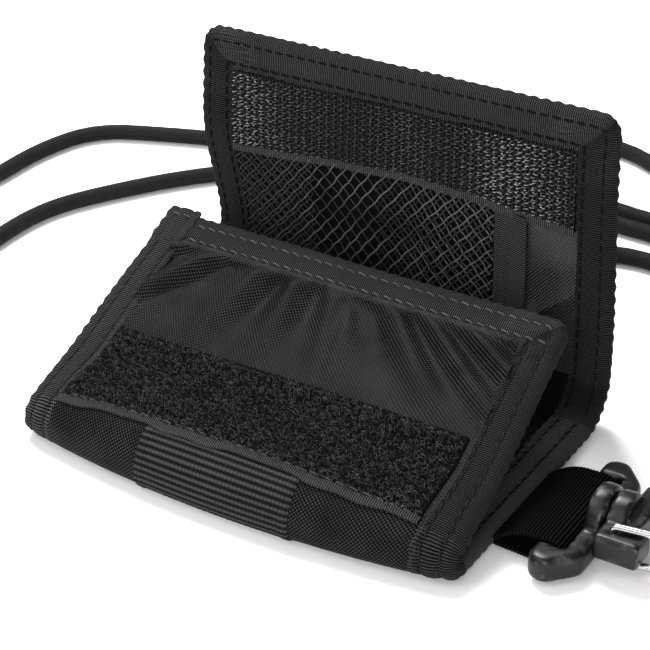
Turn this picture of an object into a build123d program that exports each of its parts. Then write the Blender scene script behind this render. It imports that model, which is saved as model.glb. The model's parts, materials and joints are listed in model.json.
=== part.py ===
from build123d import *
import math
import os

# Neck pouch wallet: a trifold fabric wallet with a neck cord and a key strap, standing open.
# Millimetres, +X across the wallet, +Y from the front fold to the back fold, +Z up.
# The origin is the centre of the flat underside of the centre panel.

# Panels. Each is a nylon shell, a foam sheet and a lining, bound in folded tape.
HALF_WIDTH = 60.0
TAPE = 0.7
SHELL = 0.8
FOAM = 1.2
LINING = 0.7
BOUND = 2 * TAPE + SHELL + FOAM + LINING
BINDING_WIDTH = 10.0
SEAM = 1.2
FIT = 0.1
EDGE_ROUND = 1.6
CORNER_ROUND = 5.0

# Folding. The panels are laid out closed, one on the other, then turned open about the folds.
CENTRE_FRONT = -31.85
CENTRE_BACK = 31.85
FRONT_HINGE = (-35.45, 6.0)
FRONT_TILT = 24.85
FRONT_UNDER = BOUND + 0.2
FRONT_START = -32.55
FRONT_END = 31.2
FLAP_HINGE = (42.7, 13.0)
FLAP_SWING = 94.4
FLAP_UNDER = 10.2
FLAP_START = 44.4
FLAP_END = -22.7

# Hook and loop tapes, pockets and the webbing band round the front fold.
TOUCH_TAPE_HALF = 49.6
LOOP_START = -32.4
LOOP_HEIGHT = 25.8
LOOP_THICK = 1.0
HOOK_HEIGHT = 21.0
HOOK_THICK = 1.3
MESH_LEFT = -49.6
MESH_RIGHT = 28.0
MESH_THICK = 0.6
POCKET_BINDING = 9.5
BAND_HALF = 21.0
BAND_THICK = 0.8

# Key strap, swivel eye and wire gate snap hook. Their axes lie along one line, parallel to X.
STRAP_Y = -4.0
STRAP_WIDTH = 30.0
STRAP_THICK = 1.4
STRAP_HINGE = (61.6, 2.05)
BAR_X = 73.3
BAR_Z = 4.0
BAR_R = 2.3
STRAP_GAP = 0.08
EYE_HALF = 22.8
EYE_LOW = 0.7
EYE_HIGH = 7.3
EYE_OUTER = 82.0
SLOT_HALF = 15.8
SLOT_OUTER = 77.6
SWIVEL_Z = 7.5
COLLAR_R = 7.2
COLLAR_END = 82.0
RIVET_R = 2.5
RIVET_HEAD_R = 4.0
RUNNING = 0.05
HOOK_COLLAR = 82.4
HOOK_COLLAR_R = 6.8
HOOK_BACK = 85.0
HOOK_THICKNESS = 6.4
SPINE_R = 9.0
SPINE_WIDTH = 5.0
BEND_X = 112.0
BASE_END = 93.0
WIRE_R = 0.9
GATE_X = 85.6
GATE_SIDE = -9.0
GATE_TIP = (112.8, -9.3)
GATE_RISE = 4.3
GATE_BENDS = [1.1, 2.4, 2.4, 1.1]

# Neck cord and the webbing tabs that hold its ends behind the back fold.
CORD_D = 4.8
TAB_HALF = 7.0
TAB_X = 25.0
TAB_END = 54.5
TAB_THICK = 1.1
CORD_ROUTE = [
    (25, 54.5, 2.6), (25, 65.5, 2.6), (20, 80.5, 2.45), (13, 98.5, 2.45), (16, 115.5, 2.45),
    (33, 123.5, 2.45), (57, 116.5, 2.45), (78, 104.5, 2.45), (96, 102.5, 2.45), (108, 113.5, 2.45),
    (108, 130, 2.45), (96, 140.5, 2.45), (74, 141.5, 2.45), (46, 137.5, 2.45), (20, 138, 2.45),
    (-14, 142.5, 2.45), (-50, 137.5, 2.45), (-82, 123.5, 2.45), (-105, 100.5, 2.45),
    (-120, 77.5, 2.45), (-129, 58.5, 2.45), (-129, 34.5, 2.45), (-125, 14.5, 2.45),
    (-125, -3, 2.45), (-135, -14, 2.45), (-150, -15, 2.45), (-161, -4, 2.45), (-160, 15, 2.45),
    (-157.5, 38, 2.45), (-156, 64.5, 2.45), (-157, 91.5, 2.45), (-151, 112.5, 2.45),
    (-131, 121.5, 2.45), (-100, 132.5, 2.45), (-64, 155, 2.45), (-30, 181.5, 2.45),
    (-3, 190.5, 2.45), (20, 177.5, 2.45), (38, 174.5, 2.45), (56, 185.5, 2.45), (75, 184.5, 2.45),
    (85, 174.5, 2.45), (85, 160.5, 2.45), (75, 150.5, 2.45), (54, 148, 2.45), (32, 145, 2.45),
    (13, 147, 2.45), (-13, 153.5, 2.45), (-32, 148.5, 8.0), (-45, 133.5, 8.0), (-49, 111.5, 2.45),
    (-41, 88.5, 2.45), (-28, 74.5, 2.45), (-25, 63.5, 2.6), (-25, 54.5, 2.6),
]


def block(x, y, z):
    """A box given by its lowest and highest x, y and z."""
    size = [high - low for low, high in (x, y, z)]
    centre = [(low + high) / 2 for low, high in (x, y, z)]
    return Pos(*centre) * Box(*size)


def rounded_plate(half, y, z, free_end, trim=0.0):
    """A panel outline whose two corners at its free end are rounded, pulled in by trim."""
    low, high = sorted(y)
    inward = -trim if free_end > 0 else trim
    centre_y = (low + high) / 2 + inward / 2
    outline = Rectangle(2 * (half - trim), high - low - trim)
    ends = outline.vertices().sort_by(Axis.Y)
    corners = ends[-2:] if free_end > 0 else ends[:2]
    outline = fillet(corners, max(CORNER_ROUND - trim, 1.0))
    return Pos(0, centre_y, z[0]) * extrude(outline, z[1] - z[0])


def panel_layers(y, z, free_end, outer_up):
    """The shell, foam and lining of one bound panel. The shell lies flush with the binding."""
    low, high = sorted(y)
    field_end = (low, high - BINDING_WIDTH - FIT) if free_end > 0 else (low + BINDING_WIDTH + FIT, high)
    field = (-HALF_WIDTH + BINDING_WIDTH + FIT, HALF_WIDTH - BINDING_WIDTH - FIT)
    turn = 1 if outer_up else -1
    face = z + BOUND if outer_up else z
    levels = [face - turn * depth for depth in (0, TAPE, TAPE + SHELL)]
    foam_level = levels[2] - turn * FOAM
    lining_level = foam_level - turn * LINING
    trim = SEAM + FIT

    def sheet(first, second):
        return rounded_plate(HALF_WIDTH, y, sorted((first, second)), free_end, trim)

    shell = sheet(levels[1], levels[2]) + block(field, field_end, sorted((levels[0], levels[1])))
    return shell, sheet(levels[2], foam_level), sheet(foam_level, lining_level)


def panel_binding(y, z, free_end):
    """Binding tape folded over the two sides and the free end of a panel."""
    low, high = sorted(y)
    plate = rounded_plate(HALF_WIDTH, y, (z, z + BOUND), free_end)
    faces = plate.faces().sort_by(Axis.Z)
    end_face = plate.faces().sort_by(Axis.Y)[0 if free_end > 0 else -1]
    seam_edges = end_face.edges()
    rims = [edge for face in (faces[0], faces[-1]) for edge in face.edges()]
    rims = [edge for edge in rims if not any(edge.is_same(other) for other in seam_edges)]
    plate = fillet(rims, EDGE_ROUND)
    inner = HALF_WIDTH - BINDING_WIDTH
    window = (low - 1, high - BINDING_WIDTH) if free_end > 0 else (low + BINDING_WIDTH, high + 1)
    slot = rounded_plate(HALF_WIDTH, (low - 1, high) if free_end > 0 else (low, high + 1),
                         (z + TAPE, z + BOUND - TAPE), free_end, SEAM)
    return plate - slot - block((-inner, inner), window, (z - 1, z + BOUND + 1))


def open_front(shape):
    """Lifts the front panel from closed to the way it stands."""
    return shape.rotate(Axis((0, *FRONT_HINGE), (1, 0, 0)), FRONT_TILT)


def open_flap(shape):
    """Turns the flap from closed to upright."""
    return shape.rotate(Axis((0, *FLAP_HINGE), (1, 0, 0)), -FLAP_SWING)


def ring_sector(x, centre, radii, angles):
    """Part of a tube round a fold, between two radii and two angles in the YZ plane."""
    inner, outer = radii
    first, last = angles

    def point(radius, angle):
        turn = math.radians(angle)
        return centre[0] + radius * math.cos(turn), centre[1] + radius * math.sin(turn)

    middle = (first + last) / 2
    outline = [
        ThreePointArc(point(outer, first), point(outer, middle), point(outer, last)),
        Line(point(outer, last), point(inner, last)),
        ThreePointArc(point(inner, last), point(inner, middle), point(inner, first)),
        Line(point(inner, first), point(outer, first)),
    ]
    face = Plane.YZ * make_face(Curve() + outline)
    return Pos(x[0], 0, 0) * extrude(face, x[1] - x[0], dir=(1, 0, 0))


def plane_radius(hinge, offset, normal_angle, tangent_y):
    """Radius of the arc that meets both the floor at tangent_y and a tilted panel's outer face."""
    turn = math.radians(normal_angle)
    across, up = math.cos(turn), math.sin(turn)
    reach = across * hinge[0] + up * hinge[1] + offset
    return (reach - across * tangent_y) / (1 + up)


FRONT_NORMAL = 90 + FRONT_TILT
FRONT_R = plane_radius(FRONT_HINGE, FRONT_UNDER + BOUND - FRONT_HINGE[1], FRONT_NORMAL, CENTRE_FRONT)
FRONT_CENTRE = (CENTRE_FRONT, FRONT_R)
FRONT_ANGLES = (FRONT_NORMAL + 1.0, 269.0)
BACK_NORMAL = 90 - FLAP_SWING
BACK_R = plane_radius(FLAP_HINGE, FLAP_UNDER + BOUND - FLAP_HINGE[1], BACK_NORMAL, CENTRE_BACK)
BACK_CENTRE = (CENTRE_BACK, BACK_R)
BACK_ANGLES = (-89.5, BACK_NORMAL - 0.5)


def fold_shell(centre, radius, angles):
    """The nylon, foam and lining where they bend round a fold, as one sheet."""
    inner = radius - BOUND + TAPE
    field = HALF_WIDTH - BINDING_WIDTH - FIT
    tongue = HALF_WIDTH - SEAM - FIT
    body = ring_sector((-tongue, tongue), centre, (inner, radius - TAPE), angles)
    return body + ring_sector((-field, field), centre, (inner, radius), angles)


def fold_binding(side, centre, radius, angles):
    """Binding tape on one edge of a fold."""
    edge = sorted((side * (HALF_WIDTH - BINDING_WIDTH), side * HALF_WIDTH))
    slot = sorted((side * (HALF_WIDTH - BINDING_WIDTH - 1), side * (HALF_WIDTH - SEAM)))
    body = ring_sector(edge, centre, (radius - BOUND, radius), angles)
    gap = (radius - BOUND + TAPE - 0.02, radius - TAPE + 0.02)
    return body - ring_sector(slot, centre, gap, (angles[0] - 5, angles[1] + 5))


def centre_panel():
    """The middle panel, which lies flat, with straight bindings at its two sides."""
    flat = (CENTRE_FRONT + FIT, CENTRE_BACK - FIT)
    tongue = HALF_WIDTH - SEAM - FIT
    field = HALF_WIDTH - BINDING_WIDTH - FIT
    foam_low = TAPE + SHELL
    parts = {
        "centre_shell": block((-tongue, tongue), flat, (TAPE, foam_low)) + block((-field, field), flat, (0, TAPE)),
        "centre_foam": block((-tongue, tongue), flat, (foam_low, foam_low + FOAM)),
        "centre_lining": block((-tongue, tongue), flat, (foam_low + FOAM, foam_low + FOAM + LINING)),
    }
    for side, name in ((-1, "left"), (1, "right")):
        edge = sorted((side * (HALF_WIDTH - BINDING_WIDTH), side * HALF_WIDTH))
        slot = sorted((side * (HALF_WIDTH - BINDING_WIDTH - 1), side * (HALF_WIDTH - SEAM)))
        channel = block(edge, flat, (0, BOUND)) - block(slot, (-40, 40), (TAPE, BOUND - TAPE))
        parts[f"centre_binding_{name}"] = channel
    return parts


def folds():
    """The two folds, their edge bindings and the webbing band round the front one."""
    parts = {}
    for place, centre, radius, angles in (
        ("front", FRONT_CENTRE, FRONT_R, FRONT_ANGLES),
        ("back", BACK_CENTRE, BACK_R, BACK_ANGLES),
    ):
        parts[f"{place}_fold_shell"] = fold_shell(centre, radius, angles)
        for side, name in ((-1, "left"), (1, "right")):
            parts[f"{place}_fold_binding_{name}"] = fold_binding(side, centre, radius, angles)
    band_radii = (FRONT_R + 0.02, FRONT_R + BAND_THICK)
    parts["fold_band"] = ring_sector((-BAND_HALF, BAND_HALF), FRONT_CENTRE, band_radii, (FRONT_NORMAL + 1, 239))
    return parts


def front_panel():
    """The front panel, lining down when closed, with the loop tape across its outer face."""
    span = (FRONT_START, FRONT_END)
    shell, foam, lining = panel_layers(span, FRONT_UNDER, 1, outer_up=True)
    top = FRONT_UNDER + BOUND
    half = TOUCH_TAPE_HALF
    loops = block((-half, half), (LOOP_START, LOOP_START + LOOP_HEIGHT), (top, top + LOOP_THICK))
    parts = {
        "front_shell": shell,
        "front_foam": foam,
        "front_lining": lining,
        "front_binding": panel_binding(span, FRONT_UNDER, 1),
        "loop_tape": loops,
    }
    return {name: open_front(shape) for name, shape in parts.items()}


def flap_panel():
    """The flap, lining down when closed, with hook tape and pockets on its lining."""
    span = (FLAP_END, FLAP_START)
    shell, foam, lining = panel_layers(span, FLAP_UNDER, -1, outer_up=True)
    inner = FLAP_UNDER + TAPE
    hook_low = FLAP_END + BINDING_WIDTH + FIT
    hook_high = hook_low + HOOK_HEIGHT
    pocket = (hook_high + FIT, FLAP_START)
    binding_left = MESH_RIGHT + FIT
    binding_right = MESH_RIGHT + POCKET_BINDING
    half = TOUCH_TAPE_HALF
    parts = {
        "flap_shell": shell,
        "flap_foam": foam,
        "flap_lining": lining,
        "flap_binding": panel_binding(span, FLAP_UNDER, -1),
        "hook_tape": block((-half, half), (hook_low, hook_high), (inner - HOOK_THICK, inner)),
        "mesh_pocket": block((MESH_LEFT, MESH_RIGHT), pocket, (inner - MESH_THICK, inner)),
        "mesh_pocket_binding": block((binding_left, binding_right), pocket, (FLAP_UNDER - 0.2, inner)),
        "side_pocket": block((binding_right + FIT, half), pocket, (FLAP_UNDER, inner)),
    }
    return {name: open_flap(shape) for name, shape in parts.items()}


def key_strap():
    """Webbing that comes out of the side seam, goes round the eye's bar and comes back."""
    inner = BAR_R + STRAP_GAP
    outer = inner + STRAP_THICK
    root_x, root_z = STRAP_HINGE
    split_x = root_x + 2.4
    level_x = BAR_X - 4.5
    outline = [
        Line((BAR_X, BAR_Z - outer), (level_x, BAR_Z - outer)),
        Line((level_x, BAR_Z - outer), (root_x, root_z - STRAP_THICK)),
        ThreePointArc((root_x, root_z - STRAP_THICK), (root_x - STRAP_THICK, root_z), (root_x, root_z + STRAP_THICK)),
        Line((root_x, root_z + STRAP_THICK), (level_x, BAR_Z + outer)),
        Line((level_x, BAR_Z + outer), (BAR_X, BAR_Z + outer)),
        ThreePointArc((BAR_X, BAR_Z + outer), (BAR_X + outer, BAR_Z), (BAR_X, BAR_Z - outer)),
    ]
    hole = [
        ThreePointArc((BAR_X, BAR_Z + inner), (BAR_X + inner, BAR_Z), (BAR_X, BAR_Z - inner)),
        Line((BAR_X, BAR_Z - inner), (level_x, BAR_Z - inner)),
        Line((level_x, BAR_Z - inner), (split_x, root_z)),
        Line((split_x, root_z), (level_x, BAR_Z + inner)),
        Line((level_x, BAR_Z + inner), (BAR_X, BAR_Z + inner)),
    ]
    section = make_face(Curve() + outline) - make_face(Curve() + hole)
    face = Plane.XZ.offset(-STRAP_Y - STRAP_WIDTH / 2) * section
    return {"key_strap": extrude(face, STRAP_WIDTH)}


def turned(x, radius):
    """A cylinder along the swivel's axis."""
    return Pos((x[0] + x[1]) / 2, STRAP_Y, SWIVEL_Z) * Rot(0, 90, 0) * Cylinder(radius, x[1] - x[0])


def swivel_eye():
    """The moulded eye: a bar for the strap, a bowed outer rail and the swivel's fixed collar."""
    y, left = STRAP_Y, BAR_X - BAR_R
    outline = Polyline(
        (left, y - EYE_HALF + 1), (left, y + EYE_HALF - 1), (left + 5, y + EYE_HALF),
        (EYE_OUTER, y + 16), (EYE_OUTER, y - 16), (left + 5, y - EYE_HALF), close=True,
    )
    outline = make_face(outline)
    outline = fillet(outline.vertices(), 3.0)
    plate = Pos(0, 0, EYE_LOW) * extrude(outline, EYE_HIGH - EYE_LOW)
    plate = fillet(plate.edges().filter_by(Plane.XY), 1.4)
    plate -= block((left - 5, SLOT_OUTER), (y - SLOT_HALF, y + SLOT_HALF), (EYE_LOW - 1, EYE_HIGH + 1))
    bar = Pos(BAR_X, y, BAR_Z) * Rot(90, 0, 0) * Cylinder(BAR_R, 2 * SLOT_HALF + 2)
    collar = fillet(turned((SLOT_OUTER, COLLAR_END), COLLAR_R).edges(), 0.8)
    eye = plate + bar + collar
    eye -= turned((SLOT_OUTER - 1, COLLAR_END + 1), RIVET_R + RUNNING)
    return eye - turned((SLOT_OUTER - 1, SLOT_OUTER + 2), RIVET_HEAD_R + RUNNING)


def swivel_rivet():
    """The headed pin that joins the hook to the eye and lets it turn."""
    head = turned((SLOT_OUTER + 0.2, SLOT_OUTER + 1.9), RIVET_HEAD_R)
    return head + turned((SLOT_OUTER + 0.2, HOOK_BACK + 4), RIVET_R)


def hook_body():
    """The moulded hook: collar, base block for the gate, spine, bend and nose, in the XY plane."""
    y = STRAP_Y
    outer = SPINE_R + SPINE_WIDTH / 2
    inner = SPINE_R - SPINE_WIDTH / 2
    low = SWIVEL_Z - HOOK_THICKNESS / 2
    high = SWIVEL_Z + HOOK_THICKNESS / 2
    spine = block((HOOK_BACK + 3, BEND_X), (y + inner, y + outer), (low, high))
    bend = Pos(BEND_X, y, SWIVEL_Z) * (Cylinder(outer, HOOK_THICKNESS) - Cylinder(inner, HOOK_THICKNESS))
    bend &= block((BEND_X, BEND_X + outer + 1), (y - outer, y + outer), (low, high))
    nose = block((BEND_X - 1.5, BEND_X), (y - outer, y - inner), (low, high))
    base = block((HOOK_BACK, HOOK_BACK + 5), (y - outer, y + outer), (low, high))
    lug = block((HOOK_COLLAR, BASE_END), (y - outer - 1.2, y - inner + 1), (low, high))
    frame = fillet((spine + bend + nose + base + lug).edges().filter_by(Plane.XY), 1.0)
    collar = fillet(turned((HOOK_COLLAR, HOOK_BACK + 2), HOOK_COLLAR_R).edges(), 0.8)
    hook = frame + collar
    hook -= turned((HOOK_COLLAR - 1, HOOK_BACK + 4 + RUNNING), RIVET_R)
    return hook - Pos(GATE_X, y + GATE_SIDE, SWIVEL_Z) * Cylinder(WIRE_R + RUNNING, HOOK_THICKNESS + 1)


def wire_gate():
    """One bent wire: two legs over and under the hook, pivoted in the base block."""
    pivot = (GATE_X, STRAP_Y + GATE_SIDE)
    corners = [
        (*pivot, SWIVEL_Z + 0.6),
        (*pivot, SWIVEL_Z + GATE_RISE),
        (*GATE_TIP, SWIVEL_Z + GATE_RISE),
        (*GATE_TIP, SWIVEL_Z - GATE_RISE),
        (*pivot, SWIVEL_Z - GATE_RISE),
        (*pivot, SWIVEL_Z - 0.6),
    ]
    path = FilletPolyline(*corners, radius=GATE_BENDS)
    return sweep(Plane(path @ 0, z_dir=path % 0) * Circle(WIRE_R), path=path)


def cord_tab(side):
    """A webbing tab sewn to the back fold, closed round one end of the cord."""
    x = (side * TAB_X - TAB_HALF, side * TAB_X + TAB_HALF)
    strip = ring_sector(x, BACK_CENTRE, (BACK_R + 0.02, BACK_R + TAB_THICK), (-62, -22))
    tail = block(x, (CENTRE_BACK + 9.0, TAB_END), (0.3, 5.3))
    return strip + (tail - ring_sector(x, BACK_CENTRE, (1, BACK_R + 0.02), (-90, 0)))


def cord_radii(points):
    """The largest tangent arc for each corner of the cord's route."""
    radii = []
    for before, here, after in zip(points, points[1:], points[2:]):
        first = Vector(*here) - Vector(*before)
        second = Vector(*after) - Vector(*here)
        half_turn = math.radians(first.get_angle(second) / 2)
        radii.append(0.45 * min(first.length, second.length) / math.tan(half_turn))
    return radii


def neck_cord():
    """The round cord, lying behind and beside the wallet, from one tab to the other."""
    radii = cord_radii(CORD_ROUTE)
    path = FilletPolyline(*CORD_ROUTE, radius=radii)
    tube = sweep(Plane(path @ 0, z_dir=path % 0) * Circle(CORD_D / 2), path=path)
    expected = math.pi * CORD_D**2 / 4 * path.length
    print("cord radii in diameters:", " ".join(f"{radius / CORD_D:.1f}" for radius in radii))
    print(f"cord length {path.length:.1f}, volume {tube.volume:.1f}, section times length {expected:.1f}")
    return tube


def build():
    parts = {}
    for group in (centre_panel(), folds(), front_panel(), flap_panel(), key_strap()):
        parts.update(group)
    parts["swivel_eye"] = swivel_eye()
    parts["swivel_rivet"] = swivel_rivet()
    parts["hook_body"] = hook_body()
    parts["wire_gate"] = wire_gate()
    parts["cord_tab_left"] = cord_tab(-1)
    parts["cord_tab_right"] = cord_tab(1)
    parts["neck_cord"] = neck_cord()
    return parts


os.makedirs("parts", exist_ok=True)
for node, shape in build().items():
    export_step(shape, f"parts/{node}.step")
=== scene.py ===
import json
import math

import bmesh
import bpy
import numpy as np
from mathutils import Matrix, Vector


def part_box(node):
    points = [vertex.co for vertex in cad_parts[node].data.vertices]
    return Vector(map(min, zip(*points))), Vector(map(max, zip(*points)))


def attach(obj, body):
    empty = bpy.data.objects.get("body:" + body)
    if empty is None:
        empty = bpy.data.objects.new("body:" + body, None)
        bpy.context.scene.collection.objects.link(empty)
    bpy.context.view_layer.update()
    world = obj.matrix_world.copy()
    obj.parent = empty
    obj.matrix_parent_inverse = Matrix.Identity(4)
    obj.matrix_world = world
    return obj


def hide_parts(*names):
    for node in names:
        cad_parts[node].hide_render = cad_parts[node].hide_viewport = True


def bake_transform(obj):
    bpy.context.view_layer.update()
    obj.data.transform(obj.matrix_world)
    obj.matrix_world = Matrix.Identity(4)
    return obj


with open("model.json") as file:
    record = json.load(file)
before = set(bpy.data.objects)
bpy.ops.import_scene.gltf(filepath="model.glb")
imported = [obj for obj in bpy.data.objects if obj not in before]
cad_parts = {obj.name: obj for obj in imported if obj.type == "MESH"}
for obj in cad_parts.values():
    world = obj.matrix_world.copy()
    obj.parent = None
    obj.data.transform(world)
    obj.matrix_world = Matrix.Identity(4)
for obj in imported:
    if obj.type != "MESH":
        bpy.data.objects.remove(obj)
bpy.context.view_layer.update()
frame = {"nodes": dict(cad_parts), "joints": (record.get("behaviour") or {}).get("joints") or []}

# Sizes are in millimetres unless they say otherwise, and meshes are in metres.
MM = 0.001
TAU = 2 * math.pi
RANDOM = np.random.default_rng(7)

# The pitch of the ribs in the binding tape, the fold's band, the key strap and the hook tape.
RIB = 0.55
BAND_RIB = 1.15
STRAP_RIB = 0.78
HOOK_PITCH = 1.1

# The points of the neck cord's smooth curve, in metres, from the right tab to the left one.
CORD_EXIT = (0.025, 0.0545, 0.0026)
CORD_ROUTE = [
    CORD_EXIT, (0.025, 0.0655, 0.0026), (0.020, 0.0805, 0.00245), (0.013, 0.0985, 0.00245),
    (0.016, 0.1155, 0.00245), (0.033, 0.1235, 0.00245), (0.057, 0.1165, 0.00245), (0.078, 0.1045, 0.00245),
    (0.096, 0.1025, 0.00245), (0.108, 0.1135, 0.00245), (0.108, 0.130, 0.00245), (0.096, 0.1405, 0.00245),
    (0.074, 0.1415, 0.00245), (0.046, 0.1375, 0.00245), (0.020, 0.138, 0.00245), (-0.014, 0.1425, 0.00245),
    (-0.050, 0.1375, 0.00245), (-0.082, 0.1235, 0.00245), (-0.105, 0.1005, 0.00245),
    (-0.120, 0.0775, 0.00245), (-0.129, 0.0585, 0.00245), (-0.129, 0.0345, 0.00245),
    (-0.125, 0.0145, 0.00245), (-0.125, -0.003, 0.00245), (-0.135, -0.014, 0.00245),
    (-0.150, -0.015, 0.00245), (-0.161, -0.004, 0.00245), (-0.160, 0.015, 0.00245),
    (-0.1575, 0.038, 0.00245), (-0.156, 0.0645, 0.00245), (-0.157, 0.0915, 0.00245),
    (-0.151, 0.1125, 0.00245), (-0.131, 0.1215, 0.00245), (-0.100, 0.1325, 0.00245),
    (-0.064, 0.155, 0.00245), (-0.030, 0.1815, 0.00245), (-0.003, 0.1905, 0.00245),
    (0.020, 0.1775, 0.00245), (0.038, 0.1745, 0.00245), (0.056, 0.1855, 0.00245), (0.075, 0.1845, 0.00245),
    (0.085, 0.1745, 0.00245), (0.085, 0.1605, 0.00245), (0.075, 0.1505, 0.00245), (0.054, 0.148, 0.00245),
    (0.032, 0.145, 0.00245), (0.013, 0.147, 0.00245), (-0.013, 0.1535, 0.00245), (-0.032, 0.1485, 0.008),
    (-0.045, 0.1335, 0.008), (-0.049, 0.1115, 0.00245), (-0.041, 0.0885, 0.00245),
    (-0.028, 0.0745, 0.00245), (-0.025, 0.0635, 0.0026), (-0.025, 0.0545, 0.0026),
]

# The cord's thickness, the spacing of its rings and the length in which a strand goes once round it.
CORD_DIAMETER = 4.8
CORD_STEP = 0.5
BRAID_LAY = 13.2


# ---------------------------------------------------------------- camera, floor and light

def added(name, data):
    """A new object in the scene."""
    thing = bpy.data.objects.new(name, data)
    bpy.context.scene.collection.objects.link(thing)
    return thing


def add_camera():
    """The camera, at the viewing angle of the reference."""
    azimuth = math.radians(31.6)
    elevation = math.radians(29.6)
    distance = 0.464
    target = Vector((-0.0010, 0.00935, 0.025))
    data = bpy.data.cameras.new("camera")
    data.lens = 106.7
    data.sensor_width = 36
    across = math.cos(elevation)
    away = Vector((math.sin(azimuth) * across, -math.cos(azimuth) * across, math.sin(elevation)))
    camera = added("camera", data)
    camera.location = target + distance * away
    camera.rotation_euler = away.to_track_quat("Z", "Y").to_euler()
    bpy.context.scene.camera = camera


def add_light(name, location, target, size, power):
    """A soft square lamp that faces a point."""
    data = bpy.data.lights.new(name, "AREA")
    data.size = size
    data.energy = power
    lamp = added(name, data)
    lamp.location = location
    lamp.rotation_euler = (Vector(location) - Vector(target)).to_track_quat("Z", "Y").to_euler()


def add_stage():
    """A plain pale floor, a pale surround and three soft lamps."""
    reach = 6.0
    level = -0.0002
    mesh = bpy.data.meshes.new("floor")
    corners = [(x * reach, y * reach, level) for x, y in ((-1, -1), (1, -1), (1, 1), (-1, 1))]
    mesh.from_pydata(corners, [], [(0, 1, 2, 3)])
    floor = added("floor", mesh)
    shade = Shade("floor")
    shade.shader.inputs["Base Color"].default_value = (0.96, 0.96, 0.96, 1)
    shade.shader.inputs["Roughness"].default_value = 0.8
    floor.data.materials.append(shade.material)
    world = bpy.data.worlds.new("surround")
    world.use_nodes = True
    background = world.node_tree.nodes["Background"]
    background.inputs["Color"].default_value = (1, 1, 1, 1)
    background.inputs["Strength"].default_value = 0.34
    bpy.context.scene.world = world
    bpy.context.scene.view_settings.view_transform = "Standard"
    add_light("key", (-0.42, 0.38, 0.92), (0, 0.02, 0), 0.45, 18)
    add_light("fill", (-0.35, -0.65, 0.80), (0, 0, 0.02), 0.9, 6)
    add_light("front", (0.40, -1.0, 0.40), (0, 0, 0.03), 0.6, 11)


# ---------------------------------------------------------------- materials

# A noise's scale is per millimetre over the cloth, and per metre over an object.
PATCHES = 0.09

# The strength of a woven surface's bump, and its height.
WOVEN = (0.9, 0.2)


class Shade:
    """A material's node tree, with short calls for the nodes it needs."""

    def __init__(self, name, specular=0.5, metallic=0.0):
        self.material = bpy.data.materials.new(name)
        self.material.use_nodes = True
        self.tree = self.material.node_tree
        self.shader = self.tree.nodes["Principled BSDF"]
        self.shader.inputs["Specular IOR Level"].default_value = specular
        self.shader.inputs["Metallic"].default_value = metallic

    def link(self, value, socket):
        """Sets a socket from a number or from another node's output."""
        if isinstance(value, bpy.types.NodeSocket):
            self.tree.links.new(value, socket)
        else:
            socket.default_value = value

    def node(self, kind, *values, output=0, **settings):
        """One output of a new node, whose first inputs are set from the values."""
        node = self.tree.nodes.new(kind)
        for key, value in settings.items():
            setattr(node, key, value)
        for value, socket in zip(values, node.inputs):
            self.link(value, socket)
        return node.outputs[output]

    def math(self, operation, *values):
        return self.node("ShaderNodeMath", *values, operation=operation)

    def cloth(self):
        """The two coordinates along the cloth, in millimetres."""
        split = self.tree.nodes.new("ShaderNodeSeparateXYZ")
        self.link(self.node("ShaderNodeUVMap", uv_map="cloth"), split.inputs[0])
        return split.outputs[0], split.outputs[1]

    def vary(self, value, share, gain, floor):
        """A value times another one that is scaled and raised first."""
        return self.math("MULTIPLY", value, self.math("MULTIPLY_ADD", share, gain, floor))

    def wave(self, coordinate, pitch, phase=0.0):
        """A ripple from 0 to 1."""
        angle = self.math("MULTIPLY_ADD", coordinate, TAU / pitch, phase)
        return self.math("MULTIPLY_ADD", self.math("COSINE", angle), 0.5, 0.5)

    def noise(self, scale, detail=2.0, along=None):
        """Soft random variation from 0 to 1, over the object or over the cloth."""
        if along is None:
            place = self.node("ShaderNodeTexCoord", output="Object")
        else:
            place = self.node("ShaderNodeCombineXYZ", *along)
        unused_w = 0.0
        return self.node("ShaderNodeTexNoise", place, unused_w, scale, detail, output="Fac")

    def spread(self, value, low, high):
        """Stretches the range low to high over 0 to 1, and clips it there."""
        return self.node("ShaderNodeMapRange", value, low, high, 0.0, 1.0)

    def colours(self, factor, dark, light):
        """A colour between two others."""
        node = self.tree.nodes.new("ShaderNodeMix")
        node.data_type = "RGBA"
        self.link(factor, node.inputs[0])
        node.inputs[6].default_value = (*dark, 1)
        node.inputs[7].default_value = (*light, 1)
        return node.outputs[2]

    def finish(self, colour, roughness, height, strength, distance):
        """Joins the colour, the roughness and a bump to the shader."""
        self.link(colour, self.shader.inputs["Base Color"])
        self.link(roughness, self.shader.inputs["Roughness"])
        bump = self.tree.nodes.new("ShaderNodeBump")
        bump.inputs["Strength"].default_value = strength
        bump.inputs["Distance"].default_value = distance * MM
        self.link(height, bump.inputs["Height"])
        self.tree.links.new(bump.outputs[0], self.shader.inputs["Normal"])
        return self.material


def grey(value, tint=(0, 0, 0)):
    """A grey with a slight tint."""
    return tuple(value + shift for shift in tint)


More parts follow.
